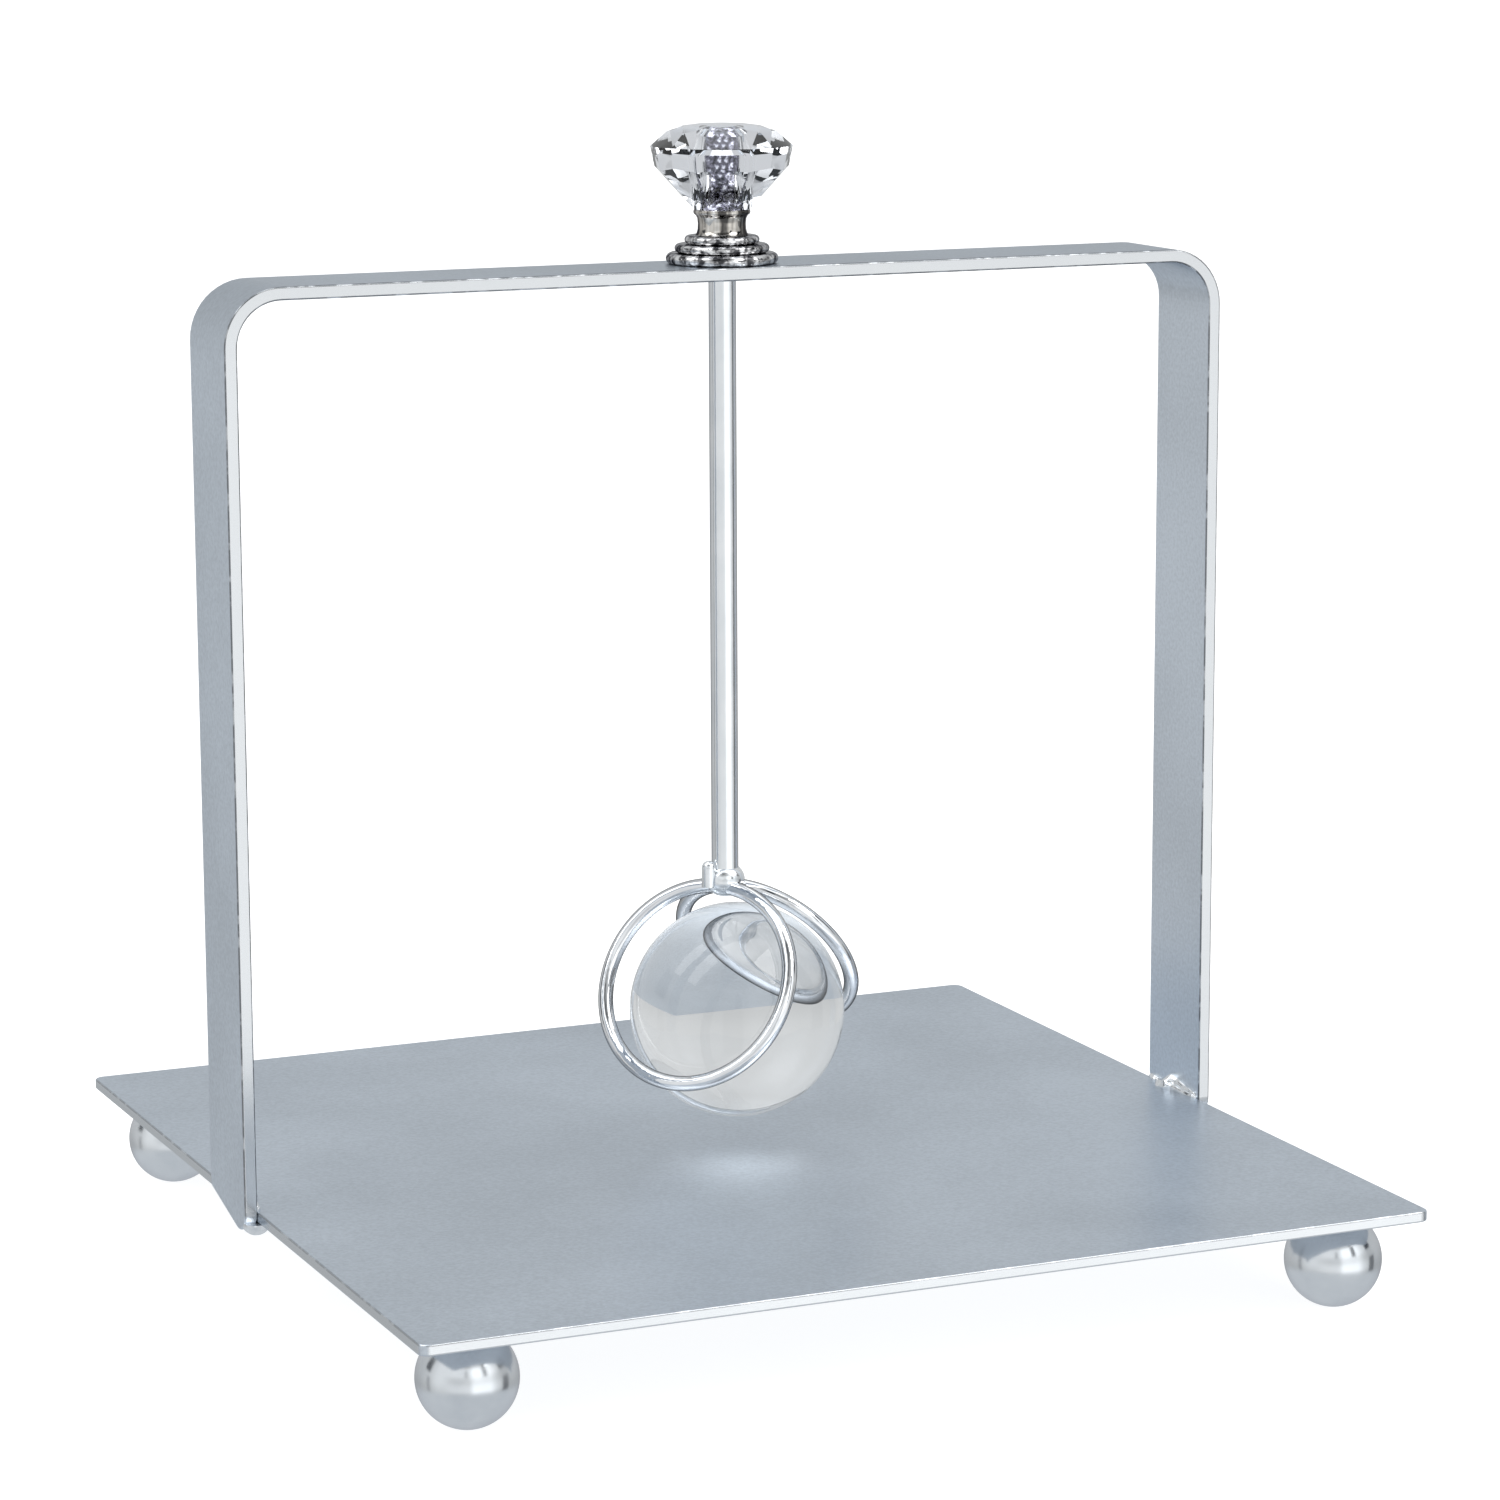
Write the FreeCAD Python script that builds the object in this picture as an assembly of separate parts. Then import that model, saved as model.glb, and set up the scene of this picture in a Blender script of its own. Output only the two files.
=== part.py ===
"""Weighted napkin holder: a square plate on ball feet, a strap arch and a crystal ball that lifts.

Millimetres. The origin is on the table under the middle of the plate. +X runs from the left leg
of the arch to the right leg, +Y to the back and +Z up. Each sub-part is one STEP file.
"""
import FreeCAD, Part
import math
import os

from FreeCAD import Vector

UP = Vector(0, 0, 1)
ALONG_X = Vector(1, 0, 0)
ALONG_Y = Vector(0, 1, 0)

# How closely an edge's direction and place must agree with what is looked for
PARALLEL_COSINE = 0.999
PLACE_TOLERANCE = 0.01
RADIUS_DECIMALS = 3

# Base plate, 2 mm sheet
PLATE_SIDE = 190.0
PLATE_THICKNESS = 2.0
PLATE_CORNER_RADIUS = 2.0
SHEET_EDGE_RADIUS = 0.35

# Ball feet, turned flat where they meet the plate and the table
FOOT_DIAMETER = 17.5
FOOT_HEIGHT = 17.0
FOOT_INSET = 12.5
STUD_DIAMETER = 4.0
STUD_LENGTH = 8.0
STUD_CLEARANCE = 0.05
FOOT_PLACES = {
    "front_left": (-1, -1),
    "front_right": (1, -1),
    "back_left": (-1, 1),
    "back_right": (1, 1),
}

# Arch, one strap bent twice
STRAP_WIDTH = 20.0
STRAP_THICKNESS = 2.4
STRAP_TOP_ABOVE_PLATE = 164.0
STRAP_BEND_RADIUS = 10.5
# Leg ends, cut on a slant: height against the plate's top and corner radius, rear and front
LEG_END_REAR = (0.3, 1.0)
LEG_END_FRONT = (-5.0, 4.0)

# Weld beads between the legs and the plate: middle along Y, length and leg size of each
MAIN_BEAD = (-1.5, 15.0, 2.7)
TACK_BEAD = (8.2, 3.4, 1.3)
UNDER_BEAD = (-6.8, 8.6, 2.3)

# Lifting rod, its journal for the rosette and its threaded tip
ROD_DIAMETER = 5.0
ROD_HOLE_CLEARANCE = 0.1
ROD_SHOULDER_ABOVE_STRAP = 1.1
JOURNAL_DIAMETER = 4.0
THREAD_DIAMETER = 3.0
THREAD_TOP_ABOVE_STRAP = 13.0

# Crystal ball, a little off the rod's axis, and the two wire rings that grip it
BALL_DIAMETER = 40.0
BALL_ABOVE_PLATE = 5.3
BALL_OFF_AXIS = (1.9, -0.9)
WIRE_DIAMETER = 2.8
RING_GRIP = 0.04
# Each ring: radius, azimuth and rise of its axis in degrees, and how far its middle lies
# sideways and up its own plane from the ball's middle
RINGS = {
    "ring_front": (19.0, -143.8, 28.1, -2.0, 0.8),
    "ring_rear": (17.5, 34.0, 35.1, 0.1, 1.3),
}
JOINT_ABOVE_PLATE = 49.0
BRAZE_RADIUS = 3.5
BRAZE_BELOW_JOINT = 1.9
BRAZE_ABOVE_JOINT = 3.4
# Wire end of the front ring, brazed upright against the rod
TAIL_AZIMUTH = -172.0
TAIL_DIAMETER = 2.7
TAIL_REACH = 3.5
TAIL_TOP_ABOVE_JOINT = 4.9

# Knob: a stepped rosette under a ferrule under a cut crystal, heights above the strap
ROSETTE_STEPS = ((10.2, 2.0), (8.6, 3.6), (6.8, 5.1))
ROSETTE_EDGE_RADIUS = 0.35
ROSETTE_BORE_CLEARANCE = 0.05
ROSETTE_RECESS_HEIGHT = 1.2
FERRULE_BOTTOM = 5.2
FERRULE_COLLAR_BOTTOM = 8.8
FERRULE_COLLAR_TOP = 9.8
FERRULE_NECK_RADIUS = 4.5
FERRULE_COLLAR_RADIUS = 5.2
SPIGOT_RADIUS = 3.0
SPIGOT_TOP = 21.4
SPIGOT_GLUE_GAP = 0.1
KNOB_SIDES = 8
# Rings of corners of the cut crystal: radius, height, turned by half a facet or not
KNOB_RINGS = (
    (5.3, 9.8, False),
    (8.3, 13.4, True),
    (11.9, 16.9, False),
    (12.9, 21.3, False),
    (9.9, 23.8, True),
    (5.4, 25.0, False),
)

# Levels worked out from the dimensions above
PLATE_TOP = FOOT_HEIGHT + PLATE_THICKNESS
STRAP_TOP = PLATE_TOP + STRAP_TOP_ABOVE_PLATE
BALL_RADIUS = BALL_DIAMETER / 2
BALL_CENTRE = Vector(*BALL_OFF_AXIS, PLATE_TOP + BALL_ABOVE_PLATE + BALL_RADIUS)
WIRE_RADIUS = WIRE_DIAMETER / 2
JOINT_Z = PLATE_TOP + JOINT_ABOVE_PLATE
ROD_BOTTOM = JOINT_Z + WIRE_RADIUS / 2


def cylinder(radius, low, high):
    """A cylinder about the rod's axis between two heights."""
    return Part.makeCylinder(radius, high - low, Vector(0, 0, low), UP)


def centred_box(length, width, low, high):
    """A box centred on the rod's axis between two heights."""
    corner = Vector(-length / 2, -width / 2, low)
    return Part.makeBox(length, width, high - low, corner)


def edges_along(shape, direction):
    """The straight edges of a shape that run along a direction."""
    found = []
    for edge in shape.Edges:
        if not isinstance(edge.Curve, Part.Line):
            continue
        if abs(edge.Curve.Direction.dot(direction)) > PARALLEL_COSINE:
            found.append(edge)
    return found


def facet(corners):
    """A flat face from its corners."""
    return Part.Face(Part.makePolygon(list(corners) + [corners[0]]))


def base_plate():
    """Square sheet with rounded corners and broken edges."""
    sheet = centred_box(PLATE_SIDE, PLATE_SIDE, FOOT_HEIGHT, PLATE_TOP)
    sheet = sheet.makeFillet(PLATE_CORNER_RADIUS, edges_along(sheet, UP))
    rims = [edge for edge in sheet.Edges if edge not in edges_along(sheet, UP)]
    flat_rims = [edge for edge in rims if edge.BoundBox.ZLength < PLATE_THICKNESS / 2]
    return sheet.makeFillet(SHEET_EDGE_RADIUS, flat_rims)


def foot_axis(place):
    """Where a foot's axis meets the table."""
    reach = PLATE_SIDE / 2 - FOOT_INSET
    side_x, side_y = FOOT_PLACES[place]
    return Vector(side_x * reach, side_y * reach, 0)


def foot_ball(place):
    """Ball foot with two small flats and a blind hole for its stud."""
    ball = Part.makeSphere(FOOT_DIAMETER / 2, Vector(0, 0, FOOT_HEIGHT / 2))
    ball = ball.common(centred_box(FOOT_DIAMETER, FOOT_DIAMETER, 0, FOOT_HEIGHT))
    hole_bottom = FOOT_HEIGHT - STUD_LENGTH - STUD_CLEARANCE
    hole = cylinder(STUD_DIAMETER / 2 + STUD_CLEARANCE, hole_bottom, FOOT_HEIGHT)
    ball = ball.cut(hole)
    ball.translate(foot_axis(place))
    return ball


def foot_studs():
    """The four studs that stand on the plate's underside inside the feet."""
    studs = []
    for place in FOOT_PLACES:
        stud = cylinder(STUD_DIAMETER / 2, FOOT_HEIGHT - STUD_LENGTH, FOOT_HEIGHT)
        stud.translate(foot_axis(place))
        studs.append(stud)
    return Part.Compound(studs)


def arch_outline(offset):
    """Closed outline of the arch in the XZ plane, moved inwards from its outer face."""
    half = PLATE_SIDE / 2 + STRAP_THICKNESS - offset
    radius = STRAP_BEND_RADIUS - offset
    top = STRAP_TOP - offset
    bottom = PLATE_TOP + LEG_END_FRONT[0]
    diagonal = radius * math.sqrt(0.5)
    left_middle = Vector(radius - half - diagonal, 0, top - radius + diagonal)
    right_middle = Vector(half - radius + diagonal, 0, top - radius + diagonal)
    foot_left = Vector(-half, 0, bottom)
    foot_right = Vector(half, 0, bottom)
    left_low = Vector(-half, 0, top - radius)
    left_high = Vector(radius - half, 0, top)
    right_high = Vector(half - radius, 0, top)
    right_low = Vector(half, 0, top - radius)
    edges = [
        Part.LineSegment(foot_left, left_low).toShape(),
        Part.Arc(left_low, left_middle, left_high).toShape(),
        Part.LineSegment(left_high, right_high).toShape(),
        Part.Arc(right_high, right_middle, right_low).toShape(),
        Part.LineSegment(right_low, foot_right).toShape(),
        Part.LineSegment(foot_right, foot_left).toShape(),
    ]
    return Part.Face(Part.Wire(edges))


def leg_end_window():
    """Block that trims the arch: its two low edges slant and round the leg ends."""
    rear_height, rear_radius = LEG_END_REAR
    front_height, front_radius = LEG_END_FRONT
    start_x = -PLATE_SIDE / 2 - STRAP_THICKNESS
    half = STRAP_WIDTH / 2
    rear_low = Vector(start_x, half, PLATE_TOP + rear_height)
    front_low = Vector(start_x, -half, PLATE_TOP + front_height)
    front_high = Vector(start_x, -half, STRAP_TOP)
    rear_high = Vector(start_x, half, STRAP_TOP)
    side = facet([rear_low, front_low, front_high, rear_high])
    window = side.extrude(ALONG_X * (PLATE_SIDE + 2 * STRAP_THICKNESS))
    for radius, sign in ((rear_radius, 1), (front_radius, -1)):
        corner_y = sign * half
        corner = [edge for edge in edges_along(window, ALONG_X)
                  if edge.BoundBox.ZMax < STRAP_TOP / 2
                  and abs(edge.BoundBox.Center.y - corner_y) < PLACE_TOLERANCE]
        window = window.makeFillet(radius, corner)
    return window


def frame_strap():
    """The arch: a flat strap bent into a U, with rounded leg ends and the rod's hole."""
    outer = arch_outline(0).extrude(ALONG_Y * STRAP_WIDTH)
    inner = arch_outline(STRAP_THICKNESS).extrude(ALONG_Y * STRAP_WIDTH)
    arch = outer.cut(inner)
    arch.translate(ALONG_Y * (-STRAP_WIDTH / 2))
    arch = arch.common(leg_end_window())
    long_edges = [edge for edge in arch.Edges if edge.Length > 2 * STRAP_THICKNESS]
    rims = [edge for edge in long_edges if edge.BoundBox.YLength < PLACE_TOLERANCE]
    arch = arch.makeFillet(SHEET_EDGE_RADIUS, rims)
    hole_radius = ROD_DIAMETER / 2 + ROD_HOLE_CLEARANCE
    return arch.cut(cylinder(hole_radius, STRAP_TOP - 2 * STRAP_THICKNESS, STRAP_TOP))


def weld_bead(side, bead, level, upward):
    """Quarter-round bead, thick in the middle, in the corner between a leg and the plate."""
    middle, length, leg = bead
    start = Vector(0, -length / 2, 0)
    end = Vector(0, length / 2, 0)
    crest = Vector(0, 0, leg * upward)
    arc = Part.Arc(start, crest, end).toShape()
    chord = Part.LineSegment(end, start).toShape()
    blade = Part.Face(Part.Wire([arc, chord]))
    quarter_turn = -90 * side * upward
    bead_solid = blade.revolve(Vector(0, 0, 0), ALONG_Y, quarter_turn)
    bead_solid.translate(Vector(side * PLATE_SIDE / 2, middle, level))
    return bead_solid


def lift_rod():
    """Round rod with a journal for the rosette and a threaded tip for the ferrule."""
    shoulder = STRAP_TOP + ROD_SHOULDER_ABOVE_STRAP
    ferrule = STRAP_TOP + FERRULE_BOTTOM
    shank = cylinder(ROD_DIAMETER / 2, ROD_BOTTOM, shoulder)
    journal = cylinder(JOURNAL_DIAMETER / 2, shoulder, ferrule)
    tip = cylinder(THREAD_DIAMETER / 2, ferrule, STRAP_TOP + THREAD_TOP_ABOVE_STRAP)
    rod = shank.fuse([journal, tip]).removeSplitter()
    for name in RINGS:
        rod = rod.cut(wire_ring(name))
    return rod


def wire_ring(name):
    """A ring of round wire, slid along its own axis until it grips the ball."""
    radius, azimuth, rise, sideways, upward = RINGS[name]
    turn = math.radians(azimuth)
    slope = math.radians(rise)
    outward = Vector(math.cos(turn), math.sin(turn), 0)
    axis = outward * math.cos(slope) + UP * math.sin(slope)
    level = UP.cross(outward)
    steep = axis.cross(level)
    grip_distance = BALL_RADIUS + WIRE_RADIUS - RING_GRIP
    nearest = radius - math.hypot(sideways, upward)
    height = math.sqrt(grip_distance ** 2 - nearest ** 2)
    centre = BALL_CENTRE + axis * height + level * sideways + steep * upward
    return Part.makeTorus(radius, WIRE_RADIUS, centre, axis)


def wire_tail():
    """Upright wire end with a rounded tip beside the rod's end."""
    azimuth = math.radians(TAIL_AZIMUTH)
    foot = Vector(math.cos(azimuth), math.sin(azimuth), 0) * TAIL_REACH + UP * JOINT_Z
    radius = TAIL_DIAMETER / 2
    height = TAIL_TOP_ABOVE_JOINT - radius
    shaft = Part.makeCylinder(radius, height, foot, UP)
    return shaft.fuse(Part.makeSphere(radius, foot + UP * height))


def ring_braze():
    """Drop of braze that joins the rings and the wire's tail to the rod's end."""
    low = JOINT_Z - BRAZE_BELOW_JOINT
    high = JOINT_Z + BRAZE_ABOVE_JOINT
    bulge = Vector(BRAZE_RADIUS, 0, JOINT_Z)
    shoulder = Vector(ROD_DIAMETER / 2, 0, high)
    arc = Part.Arc(Vector(0, 0, low), bulge, shoulder).toShape()
    lid = Part.LineSegment(shoulder, Vector(0, 0, high)).toShape()
    axis = Part.LineSegment(Vector(0, 0, high), Vector(0, 0, low)).toShape()
    drop = Part.Face(Part.Wire([arc, lid, axis])).revolve(Vector(0, 0, 0), UP, 360)
    drop = drop.fuse(wire_tail())
    for body in [lift_rod(), crystal_ball()] + [wire_ring(name) for name in RINGS]:
        drop = drop.cut(body)
    return max(drop.Solids, key=lambda solid: solid.Volume)


def crystal_ball():
    """Solid crystal ball that weighs the napkins down."""
    return Part.makeSphere(BALL_RADIUS, BALL_CENTRE)


def knob_corner(ring, index):
    """One corner of the cut crystal."""
    radius, height, half_turned = KNOB_RINGS[ring]
    step = 2 * math.pi / KNOB_SIDES
    turned = 1.0 if half_turned else 0.5
    angle = (index + turned) * step
    return Vector(radius * math.cos(angle), radius * math.sin(angle), STRAP_TOP + height)


def knob_band(low, high):
    """Facets between two rings of corners: flats when they line up, triangles when they don't."""
    shift_low = KNOB_RINGS[low][2]
    shift_high = KNOB_RINGS[high][2]
    faces = []
    for index in range(KNOB_SIDES):
        a = knob_corner(low, index)
        b = knob_corner(low, index + 1)
        c = knob_corner(high, index)
        d = knob_corner(high, index + 1)
        if shift_low == shift_high:
            faces.append(facet([a, b, d, c]))
        elif shift_high:
            faces.append(facet([a, b, c]))
            faces.append(facet([b, d, c]))
        else:
            faces.append(facet([a, d, c]))
            faces.append(facet([a, b, d]))
    return faces


def knob_crystal():
    """Eight-sided cut crystal with a blind hole for the ferrule's spigot."""
    last = len(KNOB_RINGS) - 1
    faces = [facet([knob_corner(ring, index) for index in range(KNOB_SIDES)]) for ring in (0, last)]
    for ring in range(last):
        faces += knob_band(ring, ring + 1)
    crystal = Part.Solid(Part.makeShell(faces))
    if crystal.Volume < 0:
        crystal.reverse()
    bottom = STRAP_TOP + FERRULE_COLLAR_TOP
    hole_top = STRAP_TOP + SPIGOT_TOP + SPIGOT_GLUE_GAP
    return crystal.cut(cylinder(SPIGOT_RADIUS + SPIGOT_GLUE_GAP, bottom, hole_top))


def knob_ferrule():
    """Polished neck with a collar under the crystal and a spigot glued inside it."""
    bottom = STRAP_TOP + FERRULE_BOTTOM
    collar_bottom = STRAP_TOP + FERRULE_COLLAR_BOTTOM
    collar_top = STRAP_TOP + FERRULE_COLLAR_TOP
    neck = cylinder(FERRULE_NECK_RADIUS, bottom, collar_bottom)
    collar = cylinder(FERRULE_COLLAR_RADIUS, collar_bottom, collar_top)
    spigot = cylinder(SPIGOT_RADIUS, collar_top, STRAP_TOP + SPIGOT_TOP)
    ferrule = neck.fuse([collar, spigot]).removeSplitter()
    return ferrule.cut(cylinder(THREAD_DIAMETER / 2, bottom, STRAP_TOP + THREAD_TOP_ABOVE_STRAP))


def knob_rosette():
    """Three-step rosette that turns on the rod's journal and rests on the strap."""
    steps = [cylinder(radius, STRAP_TOP, STRAP_TOP + height) for radius, height in ROSETTE_STEPS]
    rosette = steps[0].fuse(steps[1:]).removeSplitter()
    tops = {radius: STRAP_TOP + height for radius, height in ROSETTE_STEPS}
    rims = []
    for edge in rosette.Edges:
        if isinstance(edge.Curve, Part.Circle):
            radius = round(edge.Curve.Radius, RADIUS_DECIMALS)
            if abs(edge.BoundBox.ZMin - tops.get(radius, 0)) < PLACE_TOLERANCE:
                rims.append(edge)
    rosette = rosette.makeFillet(ROSETTE_EDGE_RADIUS, rims)
    bore = cylinder(JOURNAL_DIAMETER / 2 + ROSETTE_BORE_CLEARANCE, STRAP_TOP, STRAP_TOP + FERRULE_BOTTOM)
    recess_radius = ROD_DIAMETER / 2 + ROSETTE_BORE_CLEARANCE
    recess = cylinder(recess_radius, STRAP_TOP, STRAP_TOP + ROSETTE_RECESS_HEIGHT)
    return rosette.cut(bore).cut(recess)


def sub_parts():
    """Every sub-part by the name of its node."""
    parts = {
        "base_plate": base_plate(),
        "foot_studs": foot_studs(),
        "frame_strap": frame_strap(),
        "lift_rod": lift_rod(),
        "ring_braze": ring_braze(),
        "crystal_ball": crystal_ball(),
        "knob_crystal": knob_crystal(),
        "knob_ferrule": knob_ferrule(),
        "knob_rosette": knob_rosette(),
    }
    for name in RINGS:
        parts[name] = wire_ring(name)
    for place in FOOT_PLACES:
        parts["foot_ball_" + place] = foot_ball(place)
    for name, side in (("left", -1), ("right", 1)):
        parts["weld_main_" + name] = weld_bead(side, MAIN_BEAD, PLATE_TOP, 1)
        parts["weld_tack_" + name] = weld_bead(side, TACK_BEAD, PLATE_TOP, 1)
        parts["weld_under_" + name] = weld_bead(side, UNDER_BEAD, FOOT_HEIGHT, -1)
    return parts


os.makedirs("parts", exist_ok=True)
for node, shape in sub_parts().items():
    shape.exportStep("parts/" + node + ".step")
    print(node, shape.isValid(), len(shape.Solids), round(shape.Volume, 1))
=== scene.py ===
"""Weighted napkin holder: finishes, hand-made details, studio and camera."""

import math

import bmesh
import bpy
from mathutils import Matrix, Vector, noise


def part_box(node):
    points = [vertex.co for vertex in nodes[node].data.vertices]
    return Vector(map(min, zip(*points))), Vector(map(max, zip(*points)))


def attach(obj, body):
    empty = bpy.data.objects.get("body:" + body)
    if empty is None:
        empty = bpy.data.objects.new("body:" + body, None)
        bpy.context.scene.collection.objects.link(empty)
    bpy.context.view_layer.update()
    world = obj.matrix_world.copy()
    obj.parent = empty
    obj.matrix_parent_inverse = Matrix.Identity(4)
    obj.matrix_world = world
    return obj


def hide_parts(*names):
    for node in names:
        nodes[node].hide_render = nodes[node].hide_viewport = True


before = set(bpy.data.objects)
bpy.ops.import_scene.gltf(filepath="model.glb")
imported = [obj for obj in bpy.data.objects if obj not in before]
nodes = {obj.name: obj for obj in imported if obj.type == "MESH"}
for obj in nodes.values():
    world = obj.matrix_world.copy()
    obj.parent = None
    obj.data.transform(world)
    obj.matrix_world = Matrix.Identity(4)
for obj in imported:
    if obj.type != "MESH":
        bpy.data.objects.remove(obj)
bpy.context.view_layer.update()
HANDS = {"left": -1, "right": 1}

# ---------------------------------------------------------------- sizes of the CAD frame, in metres
MM = 0.001
plate_low, plate_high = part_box("base_plate")
strap_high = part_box("frame_strap")[1]
PLATE_EDGE = plate_high.x
PLATE_TOP = plate_high.z
PLATE_UNDERSIDE = plate_low.z
STRAP_TOP = strap_high.z
STRAP_HALF_WIDTH = strap_high.y
STRAP_UNDERSIDE = STRAP_TOP - (strap_high.x - PLATE_EDGE)
STRAP_INNER_BEND = 8.1 * MM

# ---------------------------------------------------------------- sizes of the hand-made details, in mm
# Corner rings of the crystal: radius, height above the strap, number of corners, turned half a step
CRYSTAL_RINGS = (
    (5.3, 9.8, 8, False),
    (8.4, 13.4, 8, True),
    (11.9, 17.0, 8, False),
    (12.15, 17.6, 16, False),
    (12.85, 21.2, 16, False),
    (12.2, 21.75, 8, True),
    (9.9, 23.75, 8, True),
    (7.6, 24.65, 8, False),
    (5.4, 25.0, 8, True),
)
# Neighbouring triangles that turn less than this are one facet
FACET_DEGREES = 0.6
GLUE_GAP = 0.1
AXIS_RADIUS = 0.01
# Turned outlines: radius and height above the strap
PLUG_OUTLINE = (
    (4.6, 9.8), (4.5, 11.2), (4.1, 13.6), (3.6, 16.0), (3.4, 18.0), (3.5, 20.4), (2.4, 21.4),
)
FERRULE_OUTLINE = (
    (4.9, 5.2), (4.6, 5.5), (4.4, 6.2), (4.35, 7.2), (4.45, 8.2), (4.75, 8.75), (5.05, 8.95),
    (5.18, 9.3), (5.1, 9.65), (4.9, 9.8),
)
FERRULE_BORE = ((AXIS_RADIUS, 13.2), (1.55, 13.0), (1.55, 5.2))
ROSETTE_TIERS = ((10.2, 2.0), (8.6, 3.6), (6.8, 5.1))
ROSETTE_BORE_RADIUS = 2.05
ROSETTE_RECESS_RADIUS = 2.55
ROSETTE_RECESS_HEIGHT = 1.2
TIER_STEPS = 12
# Beads in the corner of a leg: place along the leg, height up the leg, reach over the plate
MAIN_ROWS = (
    (5.4, 0.2, 0.3), (3.8, 0.8, 2.0), (1.4, 1.8, 3.2), (-0.8, 3.0, 3.0), (-2.8, 2.4, 2.0),
    (-6.0, 1.6, 1.4), (-8.6, 1.1, 1.0), (-9.4, 0.3, 0.3),
)
TACK_ROWS = ((9.4, 0.2, 0.3), (8.4, 0.9, 0.9), (6.8, 1.0, 1.2), (5.6, 0.7, 0.8), (5.0, 0.2, 0.2))
# Toe beads: place along the leg, depth under the plate, half width
TOE_ROWS = (
    (-2.0, 0.3, 0.4), (-3.6, 1.2, 1.4), (-6.2, 2.0, 2.1), (-8.6, 2.4, 2.3), (-10.3, 2.1, 2.1),
    (-11.3, 1.1, 1.3), (-11.6, 0.2, 0.3),
)
ROWS_BETWEEN = 6
CORNER_STEPS = 16
TOE_STEPS = 24
TOE_OFFSET = 0.1
# Groove along the flank of a main bead: depth as a share, angle, width in degrees, and where it starts
GROOVE_DEPTH = 0.20
GROOVE_ANGLE = 48
GROOVE_WIDTH = 10
GROOVE_START = -1.5

# ---------------------------------------------------------------- tones of the silver plate
SILVER_TINT = (0.915, 0.985, 1.07)
SILVER_LEVELS = ((0.36, 0.635), (0.50, 0.705), (0.64, 0.775))
# Colour of the painted dark lines that stand in for dark reflections along the cut edges
PAINTED_EDGE_DARK = (0.07, 0.075, 0.085)
# Painted dark lines along the cut edges, standing in for dark reflections in their rounded corners: depths
# where each starts and stops, mm, and its strength there
PLATE_LINES = ((1.55, 1.80, 0.0, 0.45),)
STRAP_LINES = ((0.18, 0.34, 0.8, 0.0), (2.06, 2.22, 0.0, 0.8))
# Height below the strap's top over which painted shade darkens its colour
PAINTED_SHADE_SPAN = 15 * MM


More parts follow.
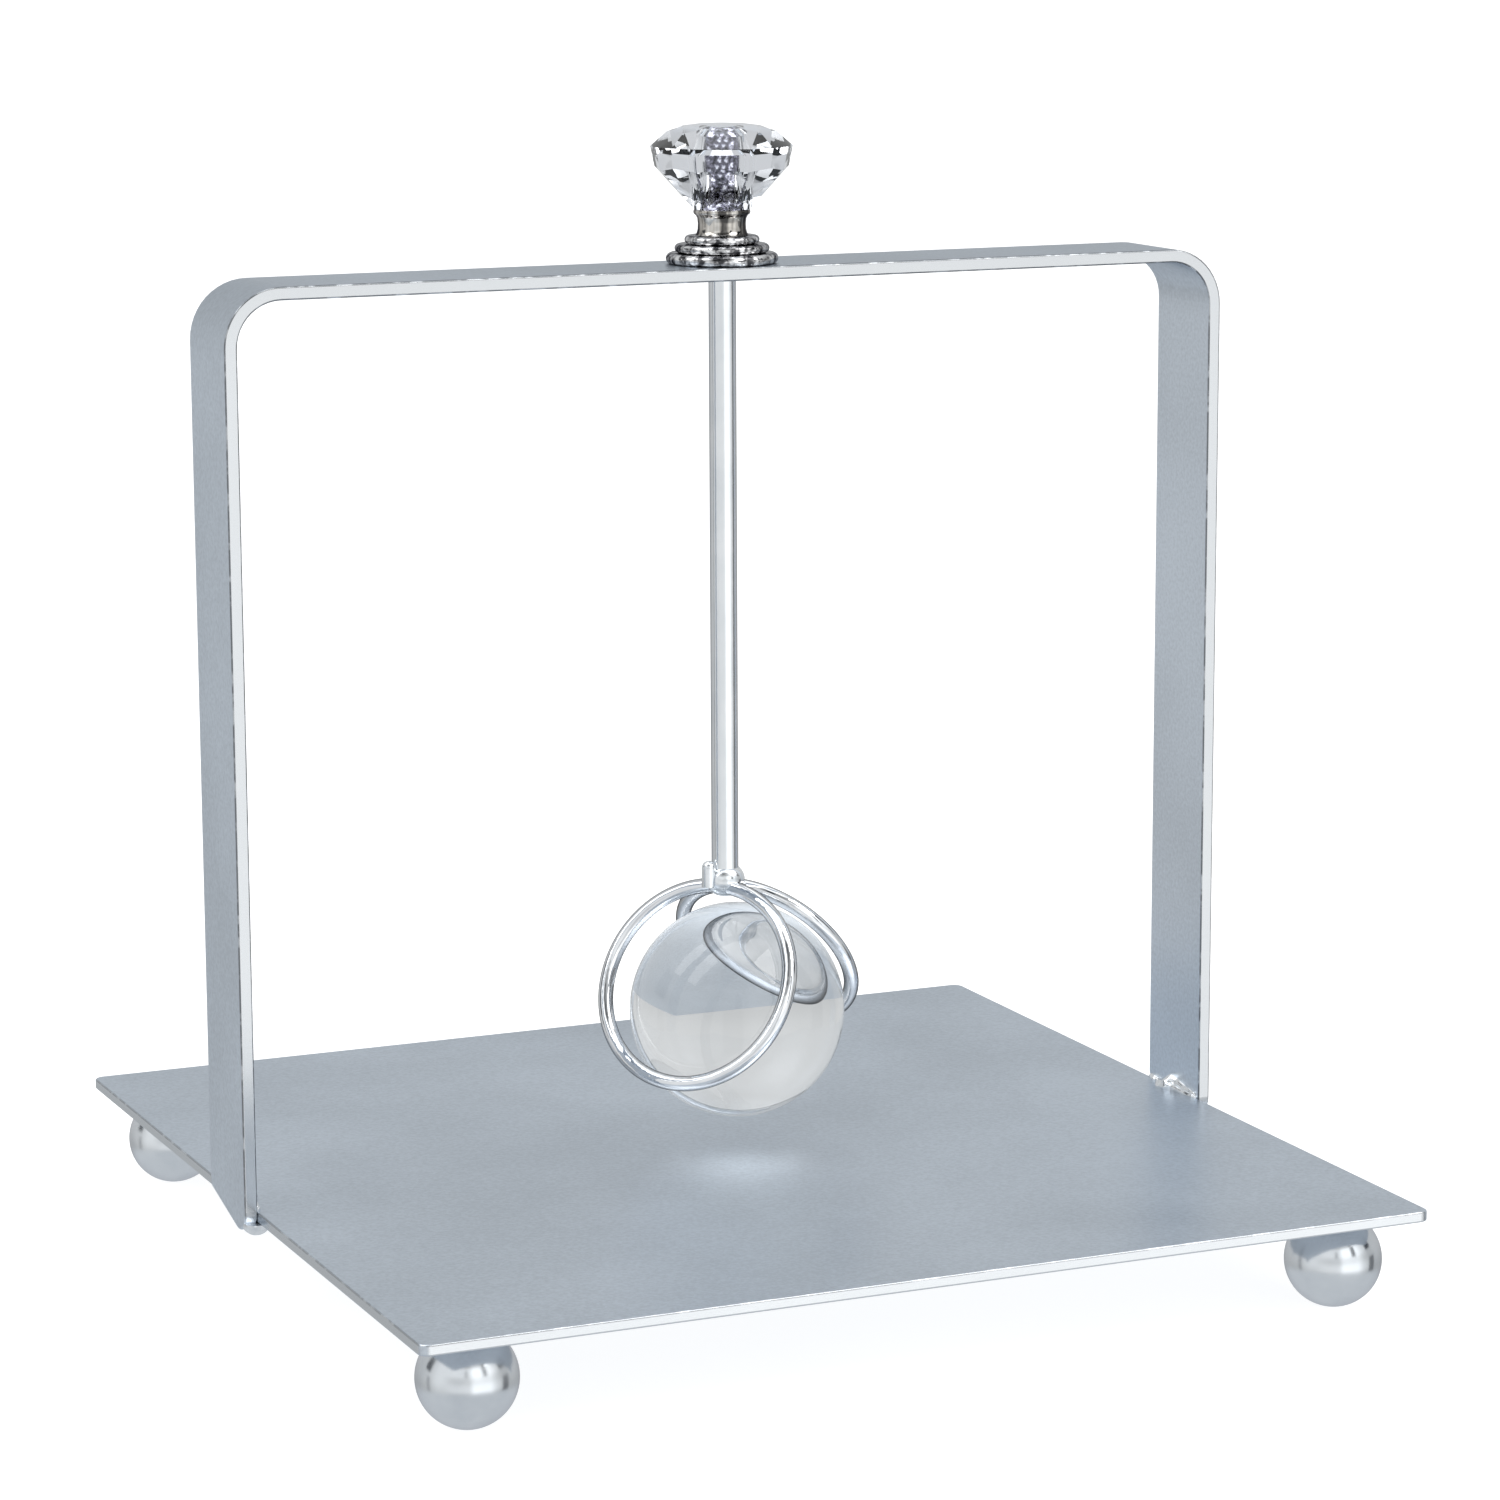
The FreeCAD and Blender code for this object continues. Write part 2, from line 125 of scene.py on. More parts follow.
# ---------------------------------------------------------------- shader helpers
class Shader:
    """A small wrapper that builds and links the nodes of one material or world."""

    def __init__(self, owner, output_kind="ShaderNodeOutputMaterial"):
        self.owner = owner
        owner.use_nodes = True
        self.tree = owner.node_tree
        self.tree.nodes.clear()
        self.output = self.tree.nodes.new(output_kind)
        self.coords = self.tree.nodes.new("ShaderNodeTexCoord")

    @classmethod
    def material(cls, name):
        return cls(bpy.data.materials.new(name))

    def link(self, source, target):
        self.tree.links.new(source, target)

    def node(self, kind, **settings):
        made = self.tree.nodes.new(kind)
        for key, value in settings.items():
            setattr(made, key, value)
        return made

    def split(self, space="Object"):
        """X, Y and Z of the shaded point, or of the direction in a world's "Generated" space."""
        node = self.node("ShaderNodeSeparateXYZ")
        self.link(self.coords.outputs[space], node.inputs["Vector"])
        return node.outputs

    def noise(self, scale, detail=2.0, stretch=(1, 1, 1), distortion=0.0):
        """Noise with about that many blotches in a metre."""
        mapping = self.node("ShaderNodeMapping")
        mapping.inputs["Scale"].default_value = stretch
        texture = self.node("ShaderNodeTexNoise")
        texture.inputs["Scale"].default_value = scale
        texture.inputs["Detail"].default_value = detail
        texture.inputs["Distortion"].default_value = distortion
        self.link(self.coords.outputs["Object"], mapping.inputs["Vector"])
        self.link(mapping.outputs["Vector"], texture.inputs["Vector"])
        return texture.outputs["Fac"]

    def ramp(self, source, stops):
        """Colours by place along a value from 0 to 1."""
        ramp = self.node("ShaderNodeValToRGB")
        elements = ramp.color_ramp.elements
        while len(elements) < len(stops):
            elements.new(0.5)
        for element, (position, colour) in zip(elements, stops):
            element.position = position
            element.color = (*colour, 1.0)
        self.link(source, ramp.inputs["Fac"])
        return ramp.outputs["Color"]

    def remap(self, source, low, high, to_low, to_high):
        """A value eased from one range into another, and held at its ends."""
        node = self.node("ShaderNodeMapRange", interpolation_type="SMOOTHSTEP")
        limits = {"From Min": low, "From Max": high, "To Min": to_low, "To Max": to_high}
        for key, value in limits.items():
            node.inputs[key].default_value = value
        self.link(source, node.inputs["Value"])
        return node.outputs["Result"]

    def math(self, operation, first, second=None):
        node = self.node("ShaderNodeMath", operation=operation)
        for socket, value in zip(node.inputs, (first, second)):
            if value is None:
                continue
            if isinstance(value, (int, float)):
                socket.default_value = value
            else:
                self.link(value, socket)
        return node.outputs["Value"]

    def mix(self, factor, first, second, blend="MIX"):
        node = self.node("ShaderNodeMix", data_type="RGBA", blend_type=blend)
        for socket, value in ((node.inputs[0], factor), (node.inputs[6], first), (node.inputs[7], second)):
            if isinstance(value, (int, float)):
                socket.default_value = value
            elif isinstance(value, tuple):
                socket.default_value = (*value, 1.0)
            else:
                self.link(value, socket)
        return node.outputs[2]

    def bump(self, height, distance, strength=1.0, below=None):
        node = self.node("ShaderNodeBump")
        node.inputs["Distance"].default_value = distance
        node.inputs["Strength"].default_value = strength
        self.link(height, node.inputs["Height"])
        if below is not None:
            self.link(below, node.inputs["Normal"])
        return node.outputs["Normal"]

    def principled(self, colour, roughness, normal, **fixed):
        """Ends the material in a Principled shader and gives the material."""
        node = self.node("ShaderNodeBsdfPrincipled")
        self.link(colour, node.inputs["Base Color"])
        self.link(roughness, node.inputs["Roughness"])
        self.link(normal, node.inputs["Normal"])
        for key, value in fixed.items():
            node.inputs[key.replace("_", " ")].default_value = value
        self.link(node.outputs["BSDF"], self.output.inputs["Surface"])
        return self.owner


# ---------------------------------------------------------------- finishes
def plate_depth(s, place):
    """Height above the underside of the plate."""
    return s.math("SUBTRACT", place["Z"], PLATE_UNDERSIDE)


def strap_depth(s, place):
    """Distance from the arch's inner surface into the strap, round the bends too."""
    across = s.math("SUBTRACT", s.math("ABSOLUTE", place["X"]), PLATE_EDGE - STRAP_INNER_BEND)
    up = s.math("SUBTRACT", place["Z"], STRAP_UNDERSIDE - STRAP_INNER_BEND)
    outside_x = s.math("MAXIMUM", across, 0.0)
    outside_z = s.math("MAXIMUM", up, 0.0)
    square_x = s.math("MULTIPLY", outside_x, outside_x)
    square_z = s.math("MULTIPLY", outside_z, outside_z)
    outside = s.math("SQRT", s.math("ADD", square_x, square_z))
    inside = s.math("MINIMUM", s.math("MAXIMUM", across, up), 0.0)
    return s.math("SUBTRACT", s.math("ADD", outside, inside), STRAP_INNER_BEND)


def satin_silver(name, gain, edge_axes, edge_at, edge_tone, depth_of, lines, painted_top_shade=1.0):
    """Satin silver plate: fine mottle, soft clouds, a painted shade that darkens towards the top of the arch,
    and brighter cut edges with painted dark reflection lines, which lie edge_at out along the edge_axes."""
    s = Shader.material(name)
    mottle = s.noise(1400, 3.0)
    clouds = s.noise(22, 3.0)
    grain = s.noise(5200, 1.0)
    mixed = s.math("ADD", s.math("MULTIPLY", mottle, 0.55), s.math("MULTIPLY", clouds, 0.45))
    colour = s.ramp(mixed, [(place, tuple(tint * level * gain for tint in SILVER_TINT))
                            for place, level in SILVER_LEVELS])
    rough = s.remap(clouds, 0.3, 0.7, 0.30, 0.36)
    place = s.split()
    reach = [s.math("ABSOLUTE", place[axis]) for axis in edge_axes]
    far = reach[0] if len(reach) == 1 else s.math("MAXIMUM", *reach)
    # Painted shade: the colour darkens towards the top of the arch
    tone = s.remap(place["Z"], STRAP_TOP - PAINTED_SHADE_SPAN, STRAP_TOP, 1.0, painted_top_shade)
    colour = s.mix(1.0, colour, tone, blend="MULTIPLY")
    edge = s.remap(far, edge_at - 0.25 * MM, edge_at + 0.05 * MM, 0.0, 1.0)
    colour = s.mix(edge, colour, (edge_tone, edge_tone * 1.015, edge_tone * 1.03))
    rough = s.math("SUBTRACT", rough, s.math("MULTIPLY", edge, 0.14))
    depth = depth_of(s, place)
    breaks = s.remap(s.noise(300, 3.0), 0.38, 0.52, 0.35, 1.0)
    near_edge = s.remap(far, edge_at - 0.35 * MM, edge_at - 0.15 * MM, 0.0, 1.0)
    # Painted dark reflection lines near the rounded corners of the cut edges, broken up by noise
    for start, stop, first, last in lines:
        line = s.math("MULTIPLY", s.remap(depth, start * MM, stop * MM, first, last), breaks)
        colour = s.mix(s.math("MULTIPLY", line, near_edge), colour, PAINTED_EDGE_DARK)
    normal = s.bump(grain, 0.01 * MM, 0.30)
    normal = s.bump(mottle, 0.012 * MM, 0.5, below=normal)
    return s.principled(colour, rough, normal, Metallic=1.0, Specular_Tint=(0.80, 0.83, 0.86, 1.0))


def pearl_silver(name):
    """Turned ball feet: brighter silver with a soft gloss."""
    s = Shader.material(name)
    clouds = s.noise(160, 3.0)
    grain = s.noise(4200, 2.0)
    colour = s.ramp(clouds, [(0.3, (0.70, 0.73, 0.765)), (0.7, (0.80, 0.825, 0.85))])
    rough = s.remap(clouds, 0.3, 0.7, 0.16, 0.22)
    normal = s.bump(grain, 0.006 * MM, 0.4)
    return s.principled(colour, rough, normal, Metallic=1.0, Specular_Tint=(0.8, 0.8, 0.82, 1.0))


def drawn_metal(name, dark, light, smoothest, roughest, rim=0.6, waves=0.004):
    """Wire, rod and studs: tonal drift, polishing marks and a wavy surface."""
    s = Shader.material(name)
    clouds = s.noise(120, 4.0)
    marks = s.noise(1500, 2.0, stretch=(1, 1, 0.15))
    swell = s.noise(520, 1.0)
    colour = s.ramp(clouds, [(0.3, dark), (0.7, light)])
    rough = s.remap(marks, 0.35, 0.65, smoothest, roughest)
    normal = s.bump(swell, waves * MM, 1.0)
    normal = s.bump(marks, 0.004 * MM, 0.3, below=normal)
    return s.principled(colour, rough, normal, Metallic=1.0, Specular_Tint=(rim, rim, rim * 1.05, 1.0))


def rosette_metal(name):
    """Cast and plated rosette: painted dark and bright reflection blotches over a wavy polish."""
    s = Shader.material(name)
    blotches = s.noise(620, 2.5, distortion=0.4)
    swell = s.noise(480, 1.5)
    # Painted reflections: near-black and near-white blotches in the colour stand in for dark and bright
    # surroundings mirrored in the tiers
    colour = s.ramp(blotches, [
        (0.40, (0.07, 0.07, 0.075)), (0.48, (0.42, 0.415, 0.42)), (0.60, (0.92, 0.92, 0.925))])
    rough = s.remap(blotches, 0.35, 0.65, 0.10, 0.04)
    normal = s.bump(swell, 0.35 * MM, 1.0)
    normal = s.bump(blotches, 0.05 * MM, 0.5, below=normal)
    return s.principled(colour, rough, normal, Metallic=1.0, Specular_Tint=(0.35, 0.35, 0.37, 1.0))


def ferrule_metal(name):
    """Polished ferrule with painted reflection streaks; its plug inside the crystal is near-black with bright
    specks, which are painted glints.
    """
    s = Shader.material(name)
    clouds = s.noise(150, 4.0)
    specks = s.noise(1200, 3.0)
    streaks = s.noise(520, 2.0, stretch=(1, 1, 0.08))
    swell = s.noise(520, 1.0)
    height = s.split()["Z"]
    collar_top = STRAP_TOP + PLUG_OUTLINE[0][1] * MM
    inside = s.remap(height, collar_top - 0.1 * MM, collar_top + 0.1 * MM, 0.0, 1.0)
    # Painted reflection streaks: dark and bright vertical bands in the colour of the outside of the ferrule
    polished = s.ramp(streaks, [
        (0.42, (0.10, 0.095, 0.09)), (0.50, (0.52, 0.49, 0.45)), (0.60, (0.86, 0.84, 0.81))])
    lighter = s.remap(height, collar_top + 5 * MM, collar_top + 10 * MM, 0.0, 0.06)
    # The plug inside the crystal: near-black, with bright specks as painted glints, a little lighter higher
    # up
    dark_plug_with_glints = s.ramp(s.math("ADD", specks, lighter), [
        (0.43, (0.01, 0.01, 0.02)), (0.50, (0.13, 0.125, 0.165)), (0.59, (0.27, 0.26, 0.32)),
        (0.65, (0.95, 0.95, 1.0))])
    colour = s.mix(inside, polished, dark_plug_with_glints)
    rough = s.math("ADD", s.remap(clouds, 0.35, 0.65, 0.03, 0.08), s.math("MULTIPLY", inside, 0.15))
    normal = s.bump(swell, 0.10 * MM, 1.0)
    normal = s.bump(specks, 0.04 * MM, 0.6, below=normal)
    return s.principled(colour, rough, normal, Metallic=1.0, Specular_Tint=(0.35, 0.35, 0.37, 1.0))


def braze_metal(name):
    """Plated solder and weld beads: lumpy, with a painted highlight on the crests and painted shade in the
    hollows.
    """
    s = Shader.material(name)
    lumps = s.noise(420, 2.0)
    fine = s.noise(3600, 2.0)
    # The colour follows the bump lumps: painted highlight on the crests, painted shade in the hollows
    colour = s.ramp(lumps, [
        (0.3, (0.72, 0.75, 0.78)), (0.55, (0.86, 0.88, 0.90)), (0.75, (0.93, 0.94, 0.95))])
    rough = s.remap(lumps, 0.3, 0.7, 0.14, 0.26)
    normal = s.bump(lumps, 0.05 * MM, 0.5)
    normal = s.bump(fine, 0.01 * MM, 0.4, below=normal)
    return s.principled(colour, rough, normal, Metallic=1.0)


def crystal(name, deep, pale):
    """Clear polished crystal with the faintest haze and polishing waves."""
    s = Shader.material(name)
    haze = s.noise(90, 2.0)
    colour = s.ramp(haze, [(0.3, deep), (0.7, pale)])
    rough = s.remap(haze, 0.35, 0.7, 0.0, 0.012)
    normal = s.bump(haze, 0.01 * MM, 0.15)
    return s.principled(colour, rough, normal, Transmission_Weight=1.0, IOR=1.52, Metallic=0.0)


plate_finish = satin_silver(
    "satin_silver_plate", gain=1.0, edge_axes="XY", edge_at=PLATE_EDGE, edge_tone=0.78,
    depth_of=plate_depth, lines=PLATE_LINES)
# The strap's top is darkened by painted shade
strap_finish = satin_silver(
    "satin_silver_strap", gain=1.12, edge_axes="Y", edge_at=STRAP_HALF_WIDTH, edge_tone=0.60,
    depth_of=strap_depth, lines=STRAP_LINES, painted_top_shade=0.70)
foot_finish = pearl_silver("pearl_silver_feet")
rod_finish = drawn_metal("nickel_rod", (0.74, 0.765, 0.79), (0.84, 0.855, 0.87), 0.10, 0.16, 0.40, 0.02)
ring_finish = drawn_metal("nickel_wire", (0.72, 0.735, 0.76), (0.90, 0.91, 0.925), 0.03, 0.07, 0.06, 0.05)
stud_finish = drawn_metal("plain_steel", (0.42, 0.42, 0.43), (0.58, 0.58, 0.59), 0.30, 0.42)
rosette_finish = rosette_metal("nickel_rosette")
ferrule_finish = ferrule_metal("nickel_ferrule")
weld_finish = braze_metal("plated_solder")
ball_finish = crystal("clear_crystal", (0.965, 0.978, 0.985), (0.985, 0.992, 0.995))
knob_finish = crystal("cut_crystal_glass", (0.925, 0.940, 0.985), (0.950, 0.960, 0.995))

finishes = {
    "base_plate": plate_finish,
    "frame_strap": strap_finish,
    "foot_studs": stud_finish,
    "lift_rod": rod_finish,
    "ring_front": ring_finish,
    "ring_rear": ring_finish,
    "ring_braze": weld_finish,
    "crystal_ball": ball_finish,
    "knob_rosette": rosette_finish,
    "knob_ferrule": ferrule_finish,
    "knob_crystal": knob_finish,
}
for side in HANDS:
    for kind in ("main", "tack", "under"):
        finishes["weld_%s_%s" % (kind, side)] = weld_finish
    for end in ("front", "back"):
        finishes["foot_ball_%s_%s" % (end, side)] = foot_finish
for node, material in finishes.items():
    for slot in nodes[node].material_slots:
        slot.material = material


# ---------------------------------------------------------------- hand-made pieces
def add_piece(name, bm, body, material, node, sharp_degrees):
    """Turns a built mesh into a piece that rides on a body and stands for a CAD node."""
    bmesh.ops.recalc_face_normals(bm, faces=bm.faces[:])
    for face in bm.faces:
        face.smooth = True
    mesh = bpy.data.meshes.new(name)
    bm.to_mesh(mesh)
    bm.free()
    mesh.set_sharp_from_angle(angle=math.radians(sharp_degrees))
    mesh.materials.append(material)
    piece = bpy.data.objects.new(name, mesh)
    bpy.context.collection.objects.link(piece)
    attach(piece, body)
    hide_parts(node)


def lathe_wall(bm, outline, turns=64, closed=False):
    """Turns an outline about the rod's axis; gives the edges at its start and the corners at its end."""
    rings = []
    for i in range(turns):
        a = 2 * math.pi * i / turns
        rings.append([bm.verts.new((r * MM * math.cos(a), r * MM * math.sin(a), STRAP_TOP + z * MM))
                      for r, z in outline])
    first_edges = []
    for i in range(turns):
        one, two = rings[i], rings[(i + 1) % turns]
        for j in range(len(outline) - (not closed)):
            k = (j + 1) % len(outline)
            wall = bm.faces.new((one[j], two[j], two[k], one[k]))
            if j == 0:
                first_edges.append(wall.edges[0])
    return first_edges, [ring[-1] for ring in rings]


def crystal_ring(radius, height, sides, turned):
    """One ring of corners of the cut crystal."""
    corners = []
    for i in range(sides):
        a = 2 * math.pi * (i + 0.5 * turned) / sides
        corner = Vector((radius * math.cos(a), radius * math.sin(a), height)) * MM
        corners.append(corner + Vector((0, 0, STRAP_TOP)))
    return corners


def cut_crystal():
    """Brilliant-cut knob: table, star, kite and girdle facets, with a blind hole for the plug."""
    bm = bmesh.new()
    for ring in CRYSTAL_RINGS:
        for corner in crystal_ring(*ring):
            bm.verts.new(corner)
    bmesh.ops.convex_hull(bm, input=bm.verts[:])
    bmesh.ops.dissolve_limit(bm, angle_limit=math.radians(FACET_DEGREES),
                             verts=bm.verts[:], edges=bm.edges[:])
    bottom = min(bm.faces, key=lambda face: face.calc_center_median().z)
    rim_edges = list(bottom.edges)
    bmesh.ops.delete(bm, geom=[bottom], context="FACES_ONLY")
    mouth, roof = lathe_wall(bm, [(r + GLUE_GAP, z) for r, z in PLUG_OUTLINE])
    bm.faces.new(roof)
    bmesh.ops.triangle_fill(bm, use_beauty=True, edges=rim_edges + mouth, normal=(0, 0, -1))
    add_piece("cut_crystal", bm, "plunger", knob_finish, "knob_crystal", sharp_degrees=12)


def turned_ferrule():
    """Ferrule with a waisted neck, a rounded collar and the plug inside the crystal."""
    plug = [PLUG_OUTLINE[0]]
    plug += [(r, z - GLUE_GAP) for r, z in PLUG_OUTLINE[1:]]
    plug.append((AXIS_RADIUS, plug[-1][1]))
    bm = bmesh.new()
    lathe_wall(bm, [*FERRULE_BORE, *FERRULE_OUTLINE, *plug], turns=96, closed=True)
    add_piece("turned_ferrule", bm, "plunger", ferrule_finish, "knob_ferrule",
              sharp_degrees=40)


def rounded_rosette():
    """Rosette turned with three rounded tiers, the bore and the recess under it."""
    outline = [(ROSETTE_RECESS_RADIUS, 0.0)]
    low = 0.0
    for radius, top in ROSETTE_TIERS:
        bulge = (top - low) / 2
        for step in range(TIER_STEPS + 1):
            a = math.pi * (step / TIER_STEPS - 0.5)
            outline.append((radius - bulge + bulge * math.cos(a), low + bulge + bulge * math.sin(a)))
        low = top
    outline += [
        (FERRULE_OUTLINE[0][0], low), (ROSETTE_BORE_RADIUS, low),
        (ROSETTE_BORE_RADIUS, ROSETTE_RECESS_HEIGHT), (ROSETTE_RECESS_RADIUS, ROSETTE_RECESS_HEIGHT),
    ]
    bm = bmesh.new()
    lathe_wall(bm, outline, turns=128, closed=True)
    bmesh.ops.remove_doubles(bm, verts=bm.verts[:], dist=1e-7)
    add_piece("rounded_rosette", bm, "rosette", rosette_finish, "knob_rosette",
              sharp_degrees=50)


def smooth_rows(rows):
    """A bead's rows with more put between them: the place moves evenly, the two sizes ease."""
    out = []
    for first, second in zip(rows, rows[1:]):
        for step in range(ROWS_BETWEEN):
            even = step / ROWS_BETWEEN
            eased = even * even * (3 - 2 * even)
            shares = (even, eased, eased)
            out.append(tuple(a + (b - a) * share for a, b, share in zip(first, second, shares)))
    return out + [rows[-1]]


def add_bead(kind, side, sections):
    """Walls between the neighbouring cross sections of a bead, and a face at both ends."""
    node = "weld_%s_%s" % (kind, side)
    bm = bmesh.new()
    rings = [[bm.verts.new(point) for point in section] for section in sections]
    for one, two in zip(rings, rings[1:]):
        for j in range(len(one)):
            k = (j + 1) % len(one)
            bm.faces.new((one[j], one[k], two[k], two[j]))
    bm.faces.new(rings[0])
    bm.faces.new(rings[-1])
    add_piece(node + "_lump", bm, "frame", weld_finish, node, sharp_degrees=60)


def corner_bead(kind, side, rows):
    """Hand-laid bead in the corner between a leg and the plate: uneven, the main one with a groove."""
    hand = HANDS[side]
    sections = []
    for y, height, reach in smooth_rows(rows):
        grooved = kind == "main" and y < GROOVE_START
        section = [(hand * PLATE_EDGE, y * MM, PLATE_TOP)]
        for step in range(CORNER_STEPS + 1):
            a = 0.5 * math.pi * step / CORNER_STEPS
            off_groove = (math.degrees(a) - GROOVE_ANGLE) / GROOVE_WIDTH
            groove = GROOVE_DEPTH * math.exp(-off_groove ** 2) * grooved
            unevenness = noise.noise(Vector((y * 0.9, step * 0.35, hand * 7.0 + 4.0)))
            swell = 1.0 - groove + 0.10 * unevenness * math.sin(2 * a)
            section.append((hand * (PLATE_EDGE - reach * MM * math.cos(a) * swell), y * MM,
                            PLATE_TOP + height * MM * math.sin(a) * swell))
        sections.append(section)
    add_bead(kind, side, sections)


def toe_bead(side, rows):
    """Round bead under the plate that wraps the lower end of a leg."""
    hand = HANDS[side]
    middle = PLATE_EDGE + TOE_OFFSET * MM
    sections = []
    for y, depth, half_width in smooth_rows(rows):
        section = []
        for step in range(TOE_STEPS + 1):
            a = math.pi * step / TOE_STEPS
            unevenness = noise.noise(Vector((y * 0.7, a * 1.8, hand * 5.0)))
            hang = depth * math.sin(a) ** 0.8 * (1.0 + 0.08 * unevenness)
            section.append((hand * (middle + half_width * MM * math.cos(a)), y * MM,
                            PLATE_UNDERSIDE - hang * MM))
        sections.append(section)
    add_bead("under", side, sections)


cut_crystal()
turned_ferrule()
rounded_rosette()
for side in HANDS:
    corner_bead("main", side, MAIN_ROWS)
    corner_bead("tack", side, TACK_ROWS)
    toe_bead(side, TOE_ROWS)


# ---------------------------------------------------------------- studio
# Brightness of the walls, and the share of the front panels in the light, by azimuth in degrees
WALL_LEVELS = (
    (-180, 0.92), (-150, 0.90), (-124, 0.90), (-104, 0.96), (-96, 1.42), (-58, 1.36), (-44, 0.92),
    (-24, 0.64), (20, 0.64), (100, 0.66), (125, 0.63), (150, 0.70), (168, 0.80), (180, 0.92),
)
FRONT_SHARES = ((-180, 0.0), (-165, 0.0), (-140, 1.0), (-30, 1.0), (-5, 0.0), (180, 0.0))
# Brightness by the sine of the height, at the back and in front
BACK_LEVELS = (
    (-1.0, 0.70), (-0.35, 0.78), (-0.12, 0.95), (0.0, 1.0), (0.80, 1.0), (0.88, 2.2), (1.0, 2.2),
)
FRONT_LEVELS = (
    (-1.0, 0.50), (-0.45, 0.60), (-0.26, 1.04), (-0.08, 0.98), (0.06, 0.80), (0.20, 0.84), (0.30, 1.08),
    (0.54, 1.08), (0.62, 0.45), (0.76, 0.40), (0.82, 0.26), (0.88, 0.26), (0.94, 1.6), (1.0, 1.6),
)
GROUND_GREY = (0.63, 0.66, 0.69)
STAND_DARK = (0.03, 0.035, 0.045)
# Dark stands and gaps between the panels: azimuth, half width in degrees, lowest and highest sine of
# height, how dark
DARK_MARKS = (
    (-112.0, 3.0, 0.26, 0.46, 0.50),
    (-68.0, 4.0, 0.26, 0.62, 1.0),
    (-22.0, 8.0, 0.28, 0.66, 1.0),
    (150.0, 8.0, 0.16, 0.46, 0.9),
    (-18.0, 8.0, -0.34, 0.00, 0.70),
    (157.0, 4.0, -0.34, 0.00, 0.45),
    (-44.0, 3.0, 0.80, 0.92, 1.0),
    (-130.0, 6.0, 0.70, 0.86, 1.0),
)
FLOOR_RADIUS = 12.0
FLOOR_GREY = 0.5
FLOOR_GLOW = 0.80
FLOOR_GAP = 0.02 * MM
LIGHT_TARGET = (0, 0, 0.1)
# Camera: place in mm, and how far it is turned to the right of +Y, tipped down and rolled, in degrees
CAMERA_PLACE = (-344.74, -798.99, 257.16)
CAMERA_TURN = 23.649
CAMERA_DIP = 10.661
CAMERA_ROLL = -0.222
LENS_MM = 115.25
SENSOR_MM = 36.0


def grey_stops(levels, limit):
    """Ramp stops of slightly cool greys from places between -limit and limit and their levels."""
    return [((place + limit) / (2 * limit), (level * 0.985, level * 0.995, level)) for place, level in levels]


def studio_world():
    """Pale grey room: even walls behind, a bright ceiling light, brighter panels in front and right."""
    world = bpy.data.worlds.new("studio")
    s = Shader(world, "ShaderNodeOutputWorld")
    direction = s.split("Generated")
    azimuth = s.math("ARCTAN2", direction["Y"], direction["X"])
    around = s.math("ADD", s.math("MULTIPLY", azimuth, 0.5 / math.pi), 0.5)
    height = s.math("ADD", s.math("MULTIPLY", direction["Z"], 0.5), 0.5)
    walls = s.ramp(around, grey_stops(WALL_LEVELS, 180))
    front_share = s.ramp(around, grey_stops(FRONT_SHARES, 180))
    back = s.ramp(height, grey_stops(BACK_LEVELS, 1))
    front = s.ramp(height, grey_stops(FRONT_LEVELS, 1))
    light = s.mix(1.0, walls, s.mix(front_share, back, front), blend="MULTIPLY")
    ground = s.remap(direction["Z"], -0.46, -0.28, 1.0, 0.0)
    light = s.mix(ground, light, GROUND_GREY)
    for middle, half_width, low, high, dark in DARK_MARKS:
        aside = s.math("ABSOLUTE", s.math("SUBTRACT", azimuth, math.radians(middle)))
        across = s.remap(aside, math.radians(half_width), math.radians(half_width + 1.5), 1.0, 0.0)
        above = s.remap(direction["Z"], high, high + 0.04, 1.0, 0.0)
        below = s.remap(direction["Z"], low - 0.04, low, 0.0, 1.0)
        mark = s.math("MULTIPLY", s.math("MULTIPLY", across, dark), s.math("MULTIPLY", above, below))
        light = s.mix(mark, light, STAND_DARK)
    background = s.node("ShaderNodeBackground")
    s.link(light, background.inputs["Color"])
    s.link(background.outputs["Background"], s.output.inputs["Surface"])
    bpy.context.scene.world = world


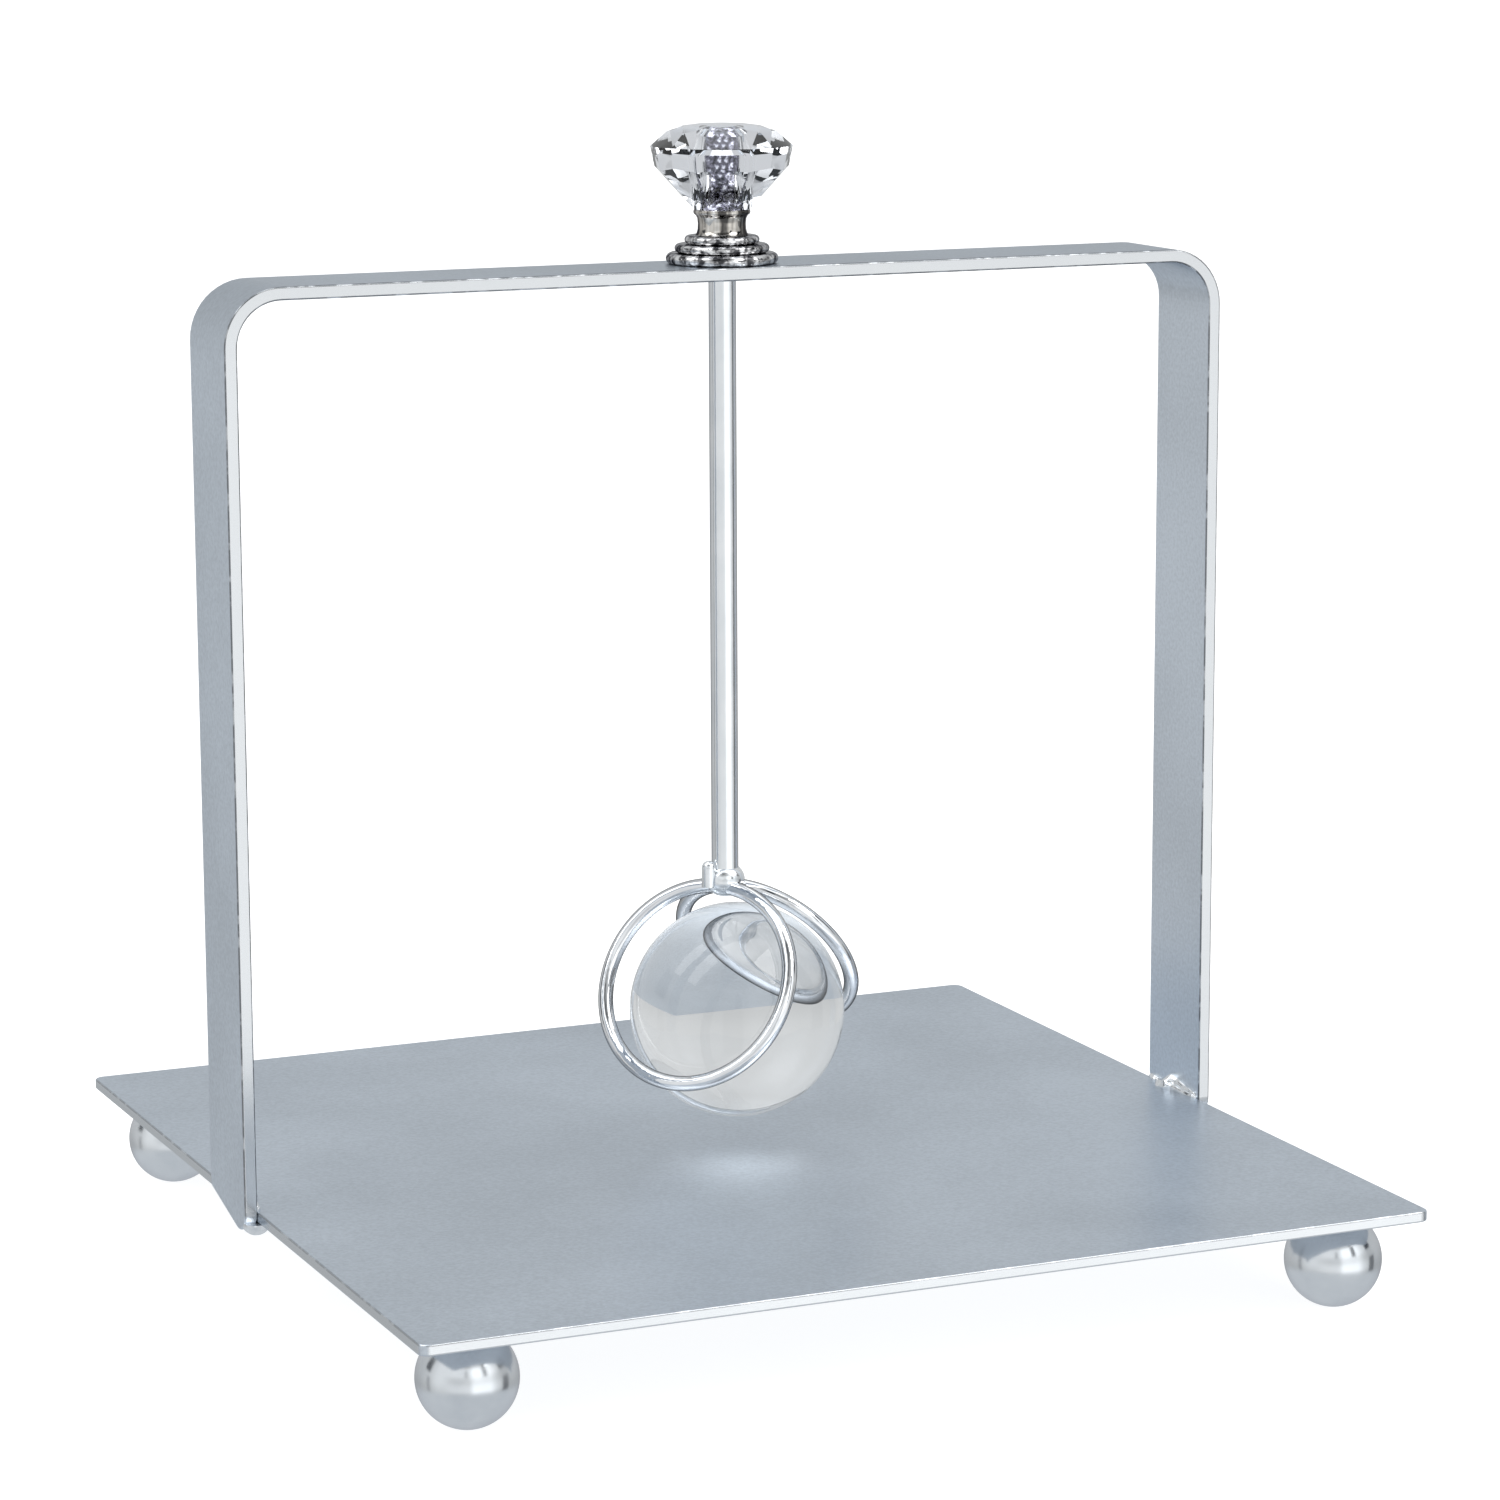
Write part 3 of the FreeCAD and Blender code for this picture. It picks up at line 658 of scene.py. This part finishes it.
def softbox(name, place, width, depth, watts):
    """A rectangular softbox aimed at the middle of the holder."""
    data = bpy.data.lights.new(name, "AREA")
    data.shape = "RECTANGLE"
    data.size = width
    data.size_y = depth
    data.energy = watts
    light = bpy.data.objects.new(name, data)
    bpy.context.collection.objects.link(light)
    light.location = place
    light.rotation_euler = (Vector(LIGHT_TARGET) - Vector(place)).to_track_quat("-Z", "Y").to_euler()


def studio_floor():
    """Pale, softly glowing studio table."""
    bm = bmesh.new()
    bmesh.ops.create_circle(bm, cap_ends=True, cap_tris=True, segments=96, radius=FLOOR_RADIUS)
    mesh = bpy.data.meshes.new("studio_floor")
    bm.to_mesh(mesh)
    bm.free()
    floor = bpy.data.objects.new("studio_floor", mesh)
    bpy.context.collection.objects.link(floor)
    floor.location.z = -FLOOR_GAP
    s = Shader.material("studio_white")
    diffuse = s.node("ShaderNodeBsdfDiffuse")
    diffuse.inputs["Color"].default_value = (FLOOR_GREY, FLOOR_GREY, FLOOR_GREY, 1)
    glow = s.node("ShaderNodeEmission")
    glow.inputs["Strength"].default_value = FLOOR_GLOW
    both = s.node("ShaderNodeAddShader")
    s.link(diffuse.outputs["BSDF"], both.inputs[0])
    s.link(glow.outputs["Emission"], both.inputs[1])
    s.link(both.outputs["Shader"], s.output.inputs["Surface"])
    mesh.materials.append(s.owner)
    floor.visible_glossy = False
    floor.visible_transmission = False


def studio_camera():
    """Long lens in front of the holder, to its left and a little above it."""
    data = bpy.data.cameras.new("camera")
    data.lens = LENS_MM
    data.sensor_width = SENSOR_MM
    data.clip_start = 0.05
    data.clip_end = 40.0
    camera = bpy.data.objects.new("camera", data)
    bpy.context.collection.objects.link(camera)
    turned = Matrix.Rotation(math.radians(-CAMERA_TURN), 4, "Z")
    tipped = Matrix.Rotation(math.radians(90 - CAMERA_DIP), 4, "X")
    rolled = Matrix.Rotation(math.radians(CAMERA_ROLL), 4, "Z")
    camera.matrix_world = Matrix.Translation(Vector(CAMERA_PLACE) * MM) @ turned @ tipped @ rolled
    bpy.context.scene.camera = camera


studio_world()
studio_floor()
softbox("softbox_right", (0.75, -0.8, 1.35), width=1.0, depth=0.9, watts=9)
softbox("softbox_left", (-1.0, 0.1, 1.2), width=0.9, depth=0.9, watts=4)
studio_camera()
scene = bpy.context.scene
scene.view_settings.view_transform = "Standard"
scene.view_settings.look = "None"
